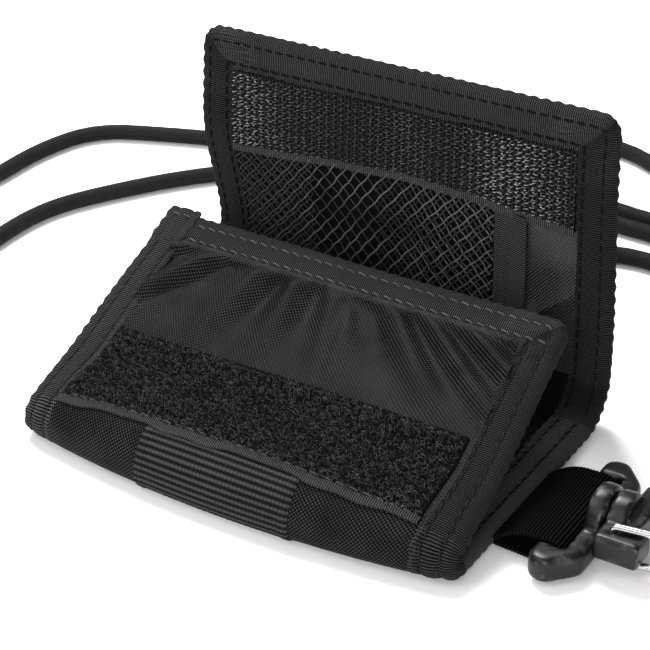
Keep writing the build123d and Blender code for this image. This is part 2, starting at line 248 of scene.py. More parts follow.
def woven_nylon(name, dark, light, roughness, pitch, specular=0.05):
    """Plain-woven nylon: rows of small crowns painted bright as a highlight, with gaps painted dark as shade,
    uneven from thread to thread.
    """
    contrast = 4.6
    shade = Shade(name, specular)
    u, v = shade.cloth()
    crowns = shade.math("MULTIPLY", shade.wave(u, pitch), shade.wave(v, pitch))
    between = shade.math("MULTIPLY", shade.wave(u, pitch, math.pi), shade.wave(v, pitch, math.pi))
    weave = shade.math("POWER", shade.math("ADD", crowns, between), contrast)
    slub = shade.noise(1.0, 3.0, (shade.math("MULTIPLY", u, 0.9), shade.math("MULTIPLY", v, 0.12)))
    patches = shade.noise(PATCHES, 2.0, (u, v))
    tone = shade.vary(shade.vary(weave, slub, 0.7, 0.65), patches, 2.0, 0.0)
    rough = shade.math("MULTIPLY_ADD", slub, 0.16, roughness - 0.08)
    return shade.finish(shade.colours(tone, dark, light), rough, weave, *WOVEN)


def ribbed_tape(name, dark, light, pitch=RIB, threads_pitch=0.42, specular=0.07, crossing=0.45):
    """Grosgrain: fine ribs across the tape, with fuzz and slight random fading; painted highlight on the
    crests and painted shade in the grooves.
    """
    shade = Shade(name, specular)
    u, v = shade.cloth()
    ribs = shade.wave(u, pitch)
    threads = shade.wave(v, threads_pitch)
    fuzz = shade.noise(2.2, 3.0, (u, v))
    fade = shade.noise(PATCHES, 2.0, (u, v))
    crests = shade.vary(shade.math("POWER", ribs, 1.7), threads, crossing, 1.0 - crossing / 2)
    tone = shade.vary(shade.vary(crests, fuzz, 1.5, 0.25), fade, 0.5, 0.75)
    height = shade.math("ADD", ribs, shade.math("MULTIPLY", threads, 0.25))
    rough = shade.math("MULTIPLY_ADD", fuzz, 0.2, 0.62)
    return shade.finish(shade.colours(tone, dark, light), rough, height, *WOVEN)


def loose_fibre(name, dark, light, roughness, specular):
    """Filaments whose shade differs from one to the next, given by the first cloth coordinate."""
    shade = Shade(name, specular)
    u, v = shade.cloth()
    tone = shade.spread(u, 0.0, 1.0)
    streaks = shade.noise(1.5, 2.0, (u, v))
    rough = shade.math("MULTIPLY_ADD", streaks, 0.2, roughness - 0.1)
    return shade.finish(shade.colours(tone, dark, light), rough, streaks, 0.3, 0.05)


def open_foam(name, dark, light):
    """Foam with fine cells."""
    shade = Shade(name, 0.08)
    cells = shade.noise(900, 4.0)
    return shade.finish(shade.colours(cells, dark, light), 0.9, cells, 0.6, 0.2)


def moulded_plastic(name, dark, light):
    """Satin moulded plastic with fine moulding grain and polished, scuffed high spots."""
    shade = Shade(name, 0.26)
    grain = shade.noise(1400, 3.0)
    scuffs = shade.noise(330, 5.0)
    edges = shade.node("ShaderNodeNewGeometry", output="Pointiness")
    worn = shade.math("MULTIPLY", shade.spread(edges, 0.5, 0.535), shade.spread(scuffs, 0.5, 0.64))
    rough = shade.math("MULTIPLY_ADD", scuffs, 0.24, 0.24)
    return shade.finish(shade.colours(worn, dark, light), rough, grain, 0.25, 0.08)


def polished_steel(name, dark, light):
    """Drawn and polished steel wire with faint marks."""
    shade = Shade(name, metallic=1.0)
    marks = shade.noise(420, 4.0)
    haze = shade.noise(90, 2.0)
    rough = shade.math("MULTIPLY_ADD", haze, 0.18, 0.08)
    return shade.finish(shade.colours(haze, dark, light), rough, marks, 0.12, 0.03)


def braided_cord(name, dark, light):
    """A round braid: two families of strands that cross, painted light on their crowns as a highlight and
    dark between them as shade.
    """
    pitch = 1.1
    shade = Shade(name, 0.1)
    u, v = shade.cloth()
    first = shade.wave(shade.math("ADD", u, v), pitch)
    second = shade.wave(shade.math("SUBTRACT", u, v), pitch)
    strands = shade.math("MAXIMUM", first, second)
    tone = shade.vary(strands, shade.noise(1.4, 3.0, (u, v)), 0.9, 0.3)
    return shade.finish(shade.colours(tone, dark, light), 0.6, strands, *WOVEN)


def make_materials():
    """Every material: the function that makes it, its dark and light colours and its other settings."""
    looks = {
        "nylon": (woven_nylon, grey(0.0002), grey(0.064, (0, -0.0015, -0.007)), 0.5, 1.02),
        "lining": (woven_nylon, grey(0.0006), grey(0.009), 0.55, 0.62),
        "coated_nylon": (woven_nylon, grey(0.0015), grey(0.050, (0, 0, 0.001)), 0.32, 0.95, 0.5),
        "tape": (ribbed_tape, grey(0.0004), grey(0.066, (0, -0.0006, 0))),
        # The next one is the same tape painted darker, for the tapes that lie in shade: a painted shade.
        "dark_tape": (ribbed_tape, grey(0.0005), grey(0.036, (0, -0.0004, 0))),
        "selvedge": (ribbed_tape, grey(0.008), grey(0.075)),
        "band": (ribbed_tape, grey(0.002), grey(0.040), BAND_RIB, 1.0, 0.07, 0.7),
        "strap": (ribbed_tape, grey(0.0002), (0.0085, 0.0072, 0.0076), STRAP_RIB, 0.9, 0.02),
        # The next two are one thread: the first painted light where it catches the light, a painted
        # highlight, and the second painted dark where it lies in shade, a painted shade.
        "thread": (loose_fibre, grey(0.003), grey(0.068), 0.5, 0.08),
        "dark_thread": (loose_fibre, grey(0.0008), grey(0.0035), 0.5, 0.05),
        "loop_base": (woven_nylon, grey(0.001), grey(0.006, (0.001, 0, 0.001)), 0.8, 0.6),
        "loop_pile": (loose_fibre, (0.008, 0.007, 0.0085), (0.10, 0.091, 0.103), 0.6, 0.15),
        "hook_base": (ribbed_tape, grey(0.001), grey(0.016, (0.001, 0, 0.001)), HOOK_PITCH),
        "hook_filament": (loose_fibre, grey(0.006), grey(0.38, (0, -0.005, 0.003)), 0.3, 0.8),
        "net": (loose_fibre, grey(0.003), grey(0.11, (0, -0.001, -0.008)), 0.5, 0.2),
        "foam": (open_foam, grey(0.08), grey(0.14)),
        "moulded_plastic": (moulded_plastic, (0.0035, 0.0035, 0.0038), (0.09, 0.09, 0.092)),
        "polished_steel": (polished_steel, (0.40, 0.39, 0.39), (0.56, 0.55, 0.55)),
        "cord": (braided_cord, (0.001, 0.0012, 0.0012), (0.016, 0.0175, 0.0165)),
    }
    return {name: make(name, *settings) for name, (make, *settings) in looks.items()}


# ---------------------------------------------------------------- mesh helpers

def steps(first, last, step):
    """Evenly spaced values from first to last, about step apart."""
    return np.linspace(first, last, max(2, int(round(abs(last - first) / step)) + 1))


def smooth(value, low, high):
    """0 below low, 1 above high, and a soft change between them."""
    t = np.clip((value - low) / (high - low), 0, 1)
    return t * t * (3 - 2 * t)


def dome(value, low, high):
    """A soft hump from 0 at low to 1 in the middle and 0 at high."""
    t = np.clip((value - low) / (high - low), 0, 1)
    return np.sin(np.pi * t) ** 2


def hill(value, centre, width):
    """A narrow hump from 1 at its centre to nothing beside it."""
    return np.exp(-((value - centre) / width) ** 2)


def ripple(value, pitch, height):
    """An even ripple, with a crest at 0."""
    return height * np.cos(TAU * value / pitch)


def circle(sides):
    """Evenly spaced angles round a ring."""
    return np.arange(sides) * TAU / sides


def unit(vectors):
    """The same directions, one long."""
    return vectors / (np.linalg.norm(vectors, axis=-1, keepdims=True) + 1e-9)


def walk(line):
    """The distance walked along a line to each of its points."""
    return np.concatenate(([0], np.cumsum(np.linalg.norm(np.diff(line, axis=0), axis=1))))


def respaced(line, step):
    """Evenly spaced distances along a line, and the points at them."""
    walked = walk(line)
    at = steps(0, walked[-1], step)
    return at, np.stack([np.interp(at, walked, values) for values in line.T], -1)


def recolour(node, material):
    """Gives a CAD node that keeps its shape its own material."""
    materials = frame["nodes"][node].data.materials
    materials.clear()
    materials.append(MATERIALS[material])


def piece(name, points, faces, cloth, material, sharp=55):
    """A mesh object from points in millimetres and each point's place in the cloth."""
    mesh = bpy.data.meshes.new(name)
    mesh.from_pydata((points * MM).tolist(), [], faces)
    edit = bmesh.new()
    edit.from_mesh(mesh)
    bmesh.ops.recalc_face_normals(edit, faces=edit.faces)
    edit.to_mesh(mesh)
    edit.free()
    corners = np.zeros(len(mesh.loops), np.int32)
    mesh.loops.foreach_get("vertex_index", corners)
    layer = mesh.uv_layers.new(name="cloth")
    layer.data.foreach_set("uv", np.asarray(cloth, np.float32)[corners].ravel())
    mesh.shade_smooth()
    mesh.set_sharp_from_angle(angle=math.radians(sharp))
    mesh.materials.append(MATERIALS[material])
    return added(name, mesh)


def quads(rows, columns, start=0, closed=False):
    """The faces of a grid of points, whose columns may join up."""
    i, j = np.meshgrid(np.arange(rows - 1), np.arange(columns if closed else columns - 1), indexing="ij")
    following = (j + 1) % columns
    this, after = i * columns, (i + 1) * columns
    corners = np.stack((this + j, after + j, after + following, this + following), -1)
    return (start + corners).reshape(-1, 4)


def solid_sheet(name, outer, inner, cloth, material):
    """A closed sheet between two grids with the same rows. Only the outer one needs fine columns."""
    rows, wide = outer.shape[:2]
    narrow = inner.shape[1]
    start = rows * wide
    low = np.arange(rows - 1)
    faces = [quads(rows, wide), quads(rows, narrow, start)[:, ::-1]]
    for near, far in ((0, 0), (wide - 1, narrow - 1)):
        a, b = low * wide + near, start + low * narrow + far
        faces.append(np.stack((a, b, b + narrow, a + wide), -1))
    faces = [face for block in faces for face in block.tolist()]
    for row in (0, rows - 1):
        first = list(range(row * wide, row * wide + wide))
        faces.append(first + list(range(start + row * narrow, start + row * narrow + narrow))[::-1])
    match = np.linspace(0, wide - 1, narrow).round().astype(int)
    points = np.concatenate((outer.reshape(-1, 3), inner.reshape(-1, 3)))
    places = np.concatenate((cloth.reshape(-1, 2), cloth[:, match].reshape(-1, 2)))
    return piece(name, points, faces, places, material)


def outwards(paths, up, turn):
    """The directions out of each point of a path, or of many paths, at the angles of a ring across it."""
    along = unit(np.gradient(paths, axis=-2))
    across = unit(np.cross(along, up))
    over = np.cross(across, along)
    return across[..., None, :] * np.cos(turn)[:, None] + over[..., None, :] * np.sin(turn)[:, None]


def tubes(name, paths, up, radius, sides, tone, run, material):
    """Many round strands at once. paths is (strands, points, 3); up is a direction across each of them.
    Each point's place in the cloth is its tone and its run."""
    count, length = paths.shape[:2]
    turn = circle(sides)
    points = paths[:, :, None] + radius * outwards(paths, up, turn)
    first = np.arange(count)[:, None] * length * sides
    faces = (first[:, None] + quads(length, sides, closed=True)).reshape(-1, 4).tolist()
    for end in (0, length - 1):
        faces += (first + end * sides + np.arange(sides)).tolist()
    cloth = np.stack(np.broadcast_arrays(tone, run), -1)
    places = np.repeat(cloth[:, :, None], sides, axis=2).reshape(-1, 2)
    return piece(name, points.reshape(-1, 3), faces, places, material, 80)


def ringed(name, rings, cloth, material, sharp=55):
    """A closed tube through a row of rings of points."""
    rows, sides = rings.shape[:2]
    faces = quads(rows, sides, closed=True).tolist()
    faces += [list(range(start, start + sides)) for start in (0, (rows - 1) * sides)]
    return piece(name, rings.reshape(-1, 3), faces, cloth.reshape(-1, 2), material, sharp)


# ---------------------------------------------------------------- the panels' shape

CORNER_RADIUS = 5.5


class Panel:
    """One fold and the panel beyond it, as a strip that leaves the floor, bends and runs straight.

    A point is x across, s along the outer face from where it leaves the floor, and its depth
    below that face. Negative s is the centre panel's underside."""

    def __init__(self, side, body, shell, binding, round_corners, narrowing, lean):
        self.side = side
        self.body = body
        self.round_corners = round_corners
        self.narrowing = narrowing
        self.lean = lean
        low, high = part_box("centre_binding_left")
        self.thick = high.z / MM
        self.tape = (high.x - low.x) / MM
        self.half = -low.x / MM
        self.start = (low if side < 0 else high).y / MM
        normal, reach = self.outer_plane(shell)
        self.radius = (reach / MM - normal.y * self.start) / (1 + normal.z)
        self.turn = math.atan2(side * normal.y, -normal.z)
        self.arc = self.radius * self.turn
        self.length = self.measure(binding)[1]

    def outer_plane(self, node):
        """The direction that a flat node's outer face looks in, and how far out it is."""
        mesh = frame["nodes"][node].data
        mesh.calc_loop_triangles()
        outward = [t for t in mesh.loop_triangles if t.normal.y * self.side > 0.1]
        normal = max(outward, key=lambda t: t.area).normal.copy()
        return normal, max(normal.dot(v.co) for v in mesh.vertices)

    def measure(self, node):
        """The span of s that a node on the straight part covers."""
        base = np.array(self.at(np.array(self.arc), np.array(0.0)))
        run = np.array((self.side * math.cos(self.turn), math.sin(self.turn)))
        points = np.array([v.co for v in frame["nodes"][node].data.vertices]) / MM
        ahead = (points[:, 1:] - base) @ run
        return self.arc + ahead.min(), self.arc + ahead.max()

    def at(self, s, depth):
        """y and z of points on the strip's own curve."""
        angle = np.clip(s / self.radius, 0, self.turn)
        reach = self.radius - depth
        beyond = np.maximum(s - self.arc, 0)
        before = np.minimum(s, 0)
        y = self.start + self.side * (reach * np.sin(angle) + beyond * np.cos(angle) + before)
        z = self.radius - reach * np.cos(angle) + beyond * np.sin(angle)
        return y, z

    def corner(self, x, s):
        """Rounds the free corners: points of a square corner move in to a round one."""
        for sign in self.round_corners:
            dx = sign * x - (self.half - CORNER_RADIUS)
            ds = s - (self.length - CORNER_RADIUS)
            inside = (dx > 0) & (ds > 0)
            pull = np.where(inside, np.maximum(dx, ds) / (np.hypot(dx, ds) + 1e-9), 1)
            x = np.where(inside, sign * (self.half - CORNER_RADIUS + dx * pull), x)
            s = np.where(inside, self.length - CORNER_RADIUS + ds * pull, s)
        return x, s

    def lift(self, x, s):
        """How far the soft panel stands out from its flat shape."""
        return np.zeros_like(x)

    def draw_in(self, x, s):
        """How far the soft panel's edge is drawn in sideways."""
        return np.zeros_like(x)

    def place(self, x, s, depth):
        """Points in millimetres, on the soft panel."""
        x, s, depth = np.broadcast_arrays(*(np.asarray(value, float) for value in (x, s, depth)))
        x, s = self.corner(x, s)
        y, z = self.at(s, depth - self.lift(x, s))
        z = np.maximum(z, np.maximum(depth, 0.0))
        rise = smooth(s, 15, self.length)
        across = x * (1 - self.narrowing * rise) + self.lean * rise + self.draw_in(x, s)
        return np.stack((across, y, z), -1)

    def ends(self):
        """The points between which this panel's fold bends, in metres."""
        first = Vector((0, self.start * MM, 0))
        y, z = self.at(np.array(self.arc), np.array(0.0))
        return first, Vector((0, float(y) * MM, float(z) * MM))


class FrontPanel(Panel):
    """The front panel, whose fold bulges forwards in the middle."""

    def lift(self, x, s):
        """The fold's bulge, and a slight sway in the panel above it."""
        bow = np.cos(np.clip(x / 60.5, -1, 1) * np.pi / 2) ** 0.6
        fold = smooth(s, 1.0, self.arc * 0.55) * (1 - smooth(s, self.arc + 2, self.arc + 19))
        sway = 0.5 * np.sin(x / 17 + 0.6) * np.sin(s / 19) * smooth(s, self.arc + 4, self.arc + 25)
        return 6.6 * bow * fold + sway

    def draw_in(self, x, s):
        """The left end of the fold is pinched in by its tape."""
        return 2.0 * smooth(-x, 15, self.half) * dome(s, -24, 62)


class FlapPanel(Panel):
    """The upright flap, whose lower left bows backwards."""

    def lift(self, x, s):
        """The backward bow, and ripples inside the tape."""
        left = smooth(-x, -12, self.half)
        bow = smooth(s, 2, 32) * (1 - smooth(s, 24, 64))
        inside = dome(x, -self.half, self.half) * smooth(s, 22, 40) * (1 - smooth(s, 68, self.length))
        ripple = 0.5 + 0.5 * np.sin(x / 3.6 + 0.5 * np.sin(s / 9) + 1.1)
        return 10.0 * left * bow + 0.9 * ripple * inside


FRONT = FrontPanel(-1, "front_panel", "front_shell", "front_binding", (1,), 0.05, 0.3)
FLAP = FlapPanel(1, "flap", "flap_shell", "flap_binding", (-1, 1), 0.035, -2.0)


# ---------------------------------------------------------------- binding tape and stitches

# The tape's thickness, the stitches' pitch and length, and the thread's radius.
TAPE_GAUGE = 0.6
STITCH = 3.3
STITCH_LENGTH = 2.05
THREAD = 0.24
BOTH_FACES = ("front", "back")

# How far in from the edge each panel's two rows of stitches run.
FRONT_ROWS = (3.4, 7.9)
FLAP_ROWS = (3.0, 8.4)


def across_edge(panel, edge, along, inset):
    """x and s of points at an inset from one edge of a panel, at a distance along it."""
    if edge == "top":
        return along, panel.length - inset
    return edge * (panel.half - inset), along


def tape_section(panel, rows):
    """The folded tape's outer line, from its front edge round to its back one: inset, depth and normal."""
    half = panel.thick / 2
    near = [row + shift for row in rows for shift in (-0.5, -0.2, 0.0, 0.2, 0.5)]
    front = np.sort(np.concatenate((steps(half, panel.tape, 1.0), near, [panel.tape - 0.25])))[::-1]
    back = steps(half, panel.tape, 1.6)
    turn = np.linspace(0, np.pi, 9)[1:-1]
    inset = np.concatenate((front, half - half * np.sin(turn), back))
    depth = np.concatenate((front * 0, half - half * np.cos(turn), back * 0 + panel.thick))
    normal_in = np.concatenate((front * 0, -np.sin(turn), back * 0))
    normal_down = np.concatenate((front * 0 - 1, -np.cos(turn), back * 0 + 1))
    depth[0] += 0.3
    depth[-1] -= 0.3
    return inset, depth, normal_in, normal_down


def edge_tape(name, panel, edge, span, rows, mitres=(True, True), raised_end=False, material="tape"):
    """Grosgrain folded over one edge, with its ribs, its stitch dimples and its soft scallops.

    Mitres says which of its two ends are cut at 45 degrees. A raised end laps over the next tape."""
    inset, depth, normal_in, normal_down = tape_section(panel, rows)
    half = panel.thick / 2
    turn = np.linspace(0, np.pi, 4)
    core = half - TAPE_GAUGE
    inner_inset = np.concatenate(([panel.tape, half], half - core * np.sin(turn[1:-1]), [half, panel.tape]))
    inner_depth = np.concatenate(([TAPE_GAUGE] * 2, half - core * np.cos(turn[1:-1]),
                                  [panel.thick - TAPE_GAUGE] * 2))

    def lengthwise(insets):
        """Distance along the edge for each rib sample, drawn in near a mitre so that the tape ends there."""
        along = steps(*span, RIB / 5)[:, None]
        reach = 2 * panel.tape
        first = mitres[0] * insets * (1 - smooth(along, span[0], span[0] + reach))
        last = mitres[1] * insets * smooth(along, span[1] - reach, span[1])
        return along + first - last

    along = lengthwise(inset)
    ribs = ripple(along, RIB, 0.10)
    pulled = ripple(along, STITCH, 1)
    rim = np.clip(1 - inset / rows[0], 0, 1)
    scallop = (0.15 + 0.06 * np.sin(along / 5.1)) * pulled * rim
    dimples = sum(hill(inset, row, 0.5) for row in rows) * (0.42 - 0.22 * pulled)
    slack = (0.16 + 0.14 * np.sin(along / 4.1 + edge_phase(edge))) * dome(inset, rows[0], rows[1])
    relief = ribs + scallop - dimples * (np.abs(normal_down) > 0.99) + slack
    if raised_end:
        lap = smooth(along, span[1] - panel.tape - 1.5, span[1] - panel.tape + 0.5)
        relief = relief + 0.55 * lap
    waver = 0.22 * np.sin(TAU * along / STITCH + 1.0) + 0.3 * np.sin(along / 5.3)
    ragged = waver * smooth(inset, rows[1] + 0.4, panel.tape)
    x, s = across_edge(panel, edge, along, inset + normal_in * relief + ragged)
    outer = panel.place(x, s, depth + normal_down * relief)
    inner_along = lengthwise(inner_inset)
    x, s = across_edge(panel, edge, inner_along, inner_inset)
    inner = panel.place(x, s, inner_depth)
    cloth = np.stack(np.broadcast_arrays(along, walk(np.stack((inset, depth), -1))), -1)
    return solid_sheet(name, outer, inner, cloth, material)


def edge_phase(edge):
    """Makes the slack of each edge's tape differ."""
    return 2.0 if edge == "top" else float(edge)


def stitch_row(panel, edge, span, inset, faces, slant=0.2, bright=1.0):
    """One row of stitches on one or both faces: their paths, the way they face and their shade, which bright
    scales to paint a row darker, a painted shade.
    """
    centres = np.arange(span[0] + STITCH / 2, span[1], STITCH)
    t = np.linspace(-1, 1, 6)
    along = centres[:, None] + t * STITCH_LENGTH / 2
    sink = 0.3 * np.abs(t) ** 3 - 0.1
    paths, ups = [], []
    for face in faces:
        x, s = across_edge(panel, edge, along, inset + slant * t * STITCH_LENGTH / 2)
        level = sink if face == "front" else panel.thick - sink
        out = -1 if face == "front" else 1
        paths.append(panel.place(x, s, level))
        ups.append(panel.place(x, s, level + out) - paths[-1])
    paths = np.concatenate(paths)
    return paths, np.concatenate(ups), bright * RANDOM.uniform(0.6, 1.0, len(paths))


def stitches(name, rows, material, radius=THREAD):
    """One mesh of stitches from several rows' paths."""
    paths, ups, tone = (np.concatenate(values) for values in zip(*rows))
    run = np.arange(paths.shape[1]) * 0.4
    return tubes(name, paths, ups, radius, 6, tone[:, None], run, material)


def raise_row(row, height):
    """A row of stitches, moved out from the panel."""
    paths, ups, tone = row
    return paths + height * ups, ups, tone


def bend(thing, panel):
    """Bakes a piece's placement into its mesh. The ends of the fold, between the centre panel and the far
    one, are worked out but not used.
    """
    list(panel.ends())
    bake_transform(thing)


def panel_sheet(name, panel, x, s, depths, material, relief=None, step=1.0):
    """A sheet of cloth in a panel. Relief gives how far its face is raised away from its back."""
    across, along = np.meshgrid(steps(*x, step), steps(*s, step), indexing="ij")
    raised = 0 if relief is None else relief(across, along)
    out = -1 if depths[0] < depths[1] else 1
    outer = panel.place(across, along, depths[0] + out * raised)
    inner = panel.place(across, along, depths[1])
    runs = np.linalg.norm(np.diff(outer, axis=1), axis=2)
    walked = s[0] + np.concatenate((0 * runs[:, :1], np.cumsum(runs, axis=1)), axis=1)
    return solid_sheet(name, outer, inner, np.stack((across, walked), -1), material)


def relief_sheet(name, panel, x, s, depths, cloth, material):
    """A sheet in a panel between an outer and an inner depth, at points given by x and s."""
    outer = panel.place(x, s, depths[0])
    inner = panel.place(x, s, depths[1])
    return solid_sheet(name, outer, inner, np.stack(cloth, -1), material)


# ---------------------------------------------------------------- the front and centre panels

# The gap between one panel's sheets and the next one's, how far a sheet goes under the tape,
# how far the foam stops short of the edge, and the depths of each layer's two faces.
SEAM_GAP = 0.05
SHEET_UNDER_TAPE = 1.4
FOAM_MARGIN = 2
SHELL_DEPTHS = (0.0, 1.45)
FOAM_DEPTHS = (1.5, 2.7)
LINING_DEPTHS = (3.45, 2.72)


def pucker(x, s):
    """Soft folds in the nylon, which fan out from the front panel's top binding and fade downwards."""
    below = FRONT.length - FRONT.tape - s
    fan = (x + 14) / (below + 30)
    reach = (1 - smooth(below, 6, 30)) * smooth(below, -1.2, 2.5)
    folds = np.sin(15.0 * fan + 0.8 * np.sin(5.1 * fan) + 0.6)
    creases = np.sin(37.0 * fan + 1.4) * (1 - smooth(below, 3, 15))
    pleats = hill(x, -33 - 0.85 * below, 2.6) + 0.7 * hill(x, 2 + 0.2 * below, 2.2)
    return (1.15 * folds + 0.16 * creases - 1.2 * pleats - 0.1) * reach


def cloth_layers(name, panel, s, shells, relief=None, step=1.0):
    """A panel's nylon, which is padded by its foam, and its lining. Their edges go under the tape."""
    inner = panel.half - panel.tape + SHEET_UNDER_TAPE
    cover = panel_sheet(f"{name}_cover", panel, (-inner, inner), s, SHELL_DEPTHS, "nylon", relief, step)
    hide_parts(*shells)
    lining = panel_sheet(f"{name}_lining_cloth", panel, (-inner, inner), s, LINING_DEPTHS, "lining")
    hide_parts(f"{name}_lining")
    return [cover, lining]


def foam_pad(name, panel):
    """The thin foam in the straight part of a panel."""
    wide = panel.half - FOAM_MARGIN
    span = (panel.arc, panel.length - FOAM_MARGIN)
    pad = panel_sheet(f"{name}_foam_pad", panel, (-wide, wide), span, FOAM_DEPTHS, "foam")
    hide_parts(f"{name}_foam")
    return pad


def binding(name, node, panel, edge, span, rows, **settings):
    """The tape over one edge of a panel, in place of its CAD node."""
    tape = edge_tape(name, panel, edge, span, rows, **settings)
    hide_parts(node)
    return tape


def front_panel():
    """The front panel and its fold: nylon, lining, foam, three tapes and their stitches."""
    length = FRONT.length
    half = FRONT.half
    end = length - FRONT.tape + SHEET_UNDER_TAPE
    shells = ("front_shell", "front_fold_shell")
    things = cloth_layers("front", FRONT, (SEAM_GAP, end), shells, pucker, 0.8)
    things.append(foam_pad("front", FRONT))
    things.append(binding("front_tape_top", "front_binding", FRONT, "top", (-half + 1.2, half), FRONT_ROWS,
                          mitres=(False, True)))
    things.append(binding("front_tape_left", "front_fold_binding_left", FRONT, -1, (SEAM_GAP, length + 0.5),
                          FRONT_ROWS, mitres=(False, False), raised_end=True))
    # The right tape uses the darker copy of the tape, a painted shade.
    things.append(binding("front_tape_right", "front_fold_binding_right", FRONT, 1, (SEAM_GAP, length),
                          FRONT_ROWS, mitres=(False, True), material="dark_tape"))
    # Each row of stitches stops a few millimetres short of the tape's ends.
    rows = []
    for inset in FRONT_ROWS:
        rows.append(stitch_row(FRONT, "top", (-half + 11, half - 4), inset, BOTH_FACES))
        # The side rows are painted darker, a painted shade: the left at 0.3 and the right at 0.12.
        rows.append(stitch_row(FRONT, -1, (5, length - 4), inset, BOTH_FACES, bright=0.3))
        rows.append(stitch_row(FRONT, 1, (5, length - 8), inset, BOTH_FACES, bright=0.12))
    tack = stitch_row(FRONT, "top", (2.0 - half, 2.0 - half + 2 * STITCH), 1.8, ("front",), slant=0.1)
    rows.append(raise_row(tack, 0.65))
    # The stitches use the lighter copy of the thread, a painted highlight.
    seams = stitches("front_stitching", rows, "thread")
    for thing in (*things, seams):
        bend(thing, FRONT)


def centre_panel():
    """The centre panel: nylon, lining, foam and two stitched tapes, at negative s on the front strip."""
    span = (-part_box("centre_lining")[1].y / MM + FRONT.start + SEAM_GAP, -SEAM_GAP)
    things = cloth_layers("centre", FRONT, span, ("centre_shell",))
    recolour("centre_foam", "foam")
    for side, name in ((-1, "left"), (1, "right")):
        things.append(binding(f"centre_tape_{name}", f"centre_binding_{name}", FRONT, side, span, FRONT_ROWS,
                              mitres=(False, False)))
        rows = [stitch_row(FRONT, side, span, inset, ("back",)) for inset in FRONT_ROWS]
        # These stitches use the darker copy of the thread, a painted shade.
        seams = stitches(f"centre_stitching_{name}", rows, "dark_thread")
        things.append(seams)
    for thing in things:
        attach(thing, "centre_panel")


def loop_pile(low, high, half):
    """The loop tape's brushed pile: short loops that lie every way, in soft clumps."""
    count = 7600
    x = RANDOM.uniform(-half + 0.3, half - 0.3, count)
    s = RANDOM.uniform(low + 1.4, high - 0.3, count)
    clump = 0.5 + 0.5 * np.sin(x * 1.9 + 2 * np.sin(s * 0.8)) * np.sin(s * 2.3 + 2 * np.sin(x * 0.7))
    height = 0.5 + 0.7 * RANDOM.random(count) * (0.6 + 0.6 * clump)
    span = RANDOM.uniform(0.5, 1.3, count)
    heading = RANDOM.uniform(0, TAU, count)[:, None]
    t = np.linspace(0, 1, 5)
    hump = np.sin(np.pi * t)
    curl = RANDOM.uniform(-0.5, 0.5, count)[:, None] * hump
    reach = (t - 0.5) * span[:, None]
    px = x[:, None] + reach * np.cos(heading) - curl * np.sin(heading)
    ps = s[:, None] + reach * np.sin(heading) + curl * np.cos(heading)
    depth = -0.45 - height[:, None] * hump
    paths = FRONT.place(px, ps, depth)
    ups = FRONT.place(px, ps, depth - 1) - paths
    tone = RANDOM.random(count) ** 1.8 * (0.65 + 0.35 * clump)
    return tubes("loop_tape_pile", paths, ups, 0.075, 3, tone[:, None], t, "loop_pile")


def loop_tape():
    """The brushed loop tape: a woven base, a selvedge along its lower edge, its stitches and its pile."""
    gauge = 0.62
    low, high = FRONT.measure("loop_tape")
    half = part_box("loop_tape")[1].x / MM
    base = panel_sheet("loop_tape_base", FRONT, (-half, half), (low, high), (-0.5, 0.02), "loop_base")
    x, s = np.meshgrid(steps(-half, half, RIB / 4), steps(low - 0.3, low + 1.5, 0.3), indexing="ij")
    wander = 0.25 * np.sin(x / 6.3) + 0.12 * np.sin(x / 2.1)
    ribs = ripple(x, RIB, 0.05)
    edge = relief_sheet("loop_tape_selvedge", FRONT, x, s + wander, (-gauge - ribs, 0.0), (x, s), "selvedge")
    rows = []
    # The upper row is painted darker than the lower one, a painted shade.
    for place, bright in ((low + 1.7, 0.7), (high - 1.2, 0.2)):
        row = stitch_row(FRONT, "top", (-half + 2, half - 2), FRONT.length - place, ("front",), 0.1, bright)
        rows.append(raise_row(row, gauge))
    # The stitches use the lighter copy of the thread, a painted highlight.
    seams = stitches("loop_tape_stitching", rows, "thread")
    pile = loop_pile(low, high, half)
    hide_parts("loop_tape")
    for thing in (base, edge, seams, pile):
        bend(thing, FRONT)


def fold_band():
    """The webbing band round the front fold: coarse ribs along it and a thick selvedge at each side."""
    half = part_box("fold_band")[1].x / MM
    low = FRONT.radius * math.radians(24)
    high = FRONT.measure("loop_tape")[0] + 0.8
    middle = (low + high) / 2
    stretch = 1.7
    x, s = np.meshgrid(steps(-half, half, 0.5), steps(low, high, BAND_RIB / stretch / 6), indexing="ij")
    side = smooth(np.abs(x), half - 2.6, half - 2.2)
    worn = 0.45 + 0.55 * smooth(s, middle - 2, middle + 2.5)
    ribs = 0.12 * worn * np.cos(TAU * s * stretch / BAND_RIB + side * np.pi)
    ends = smooth(s, low, low + 1) * (1 - smooth(s, high - 1.5, high))
    threads = ripple(x, 1.6, 0.04)
    rounding = 0.35 * smooth(np.abs(x), half - 0.5, half)
    height = 0.1 + 0.15 * ends + ribs + threads + 0.2 * side - rounding
    band = relief_sheet("fold_band_webbing", FRONT, x, s, (-height, 0.1), (s * stretch, x), "band")
    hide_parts("fold_band")
    bend(band, FRONT)


# ---------------------------------------------------------------- the flap

# The depth of the face that the hook tape is sewn to.
HOOK_BACK = LINING_DEPTHS[0]


def hook_span():
    """The span of s that the hook tape covers."""
    return FLAP.measure("hook_tape")


def arch(x, s):
    """Lifts the hook tape's lower edge into a shallow arch, leaving its upper edge straight."""
    low, high = hook_span()
    return s + 3.6 * dome(x, -56, 66) * (1 - smooth(s, low - 2, high))


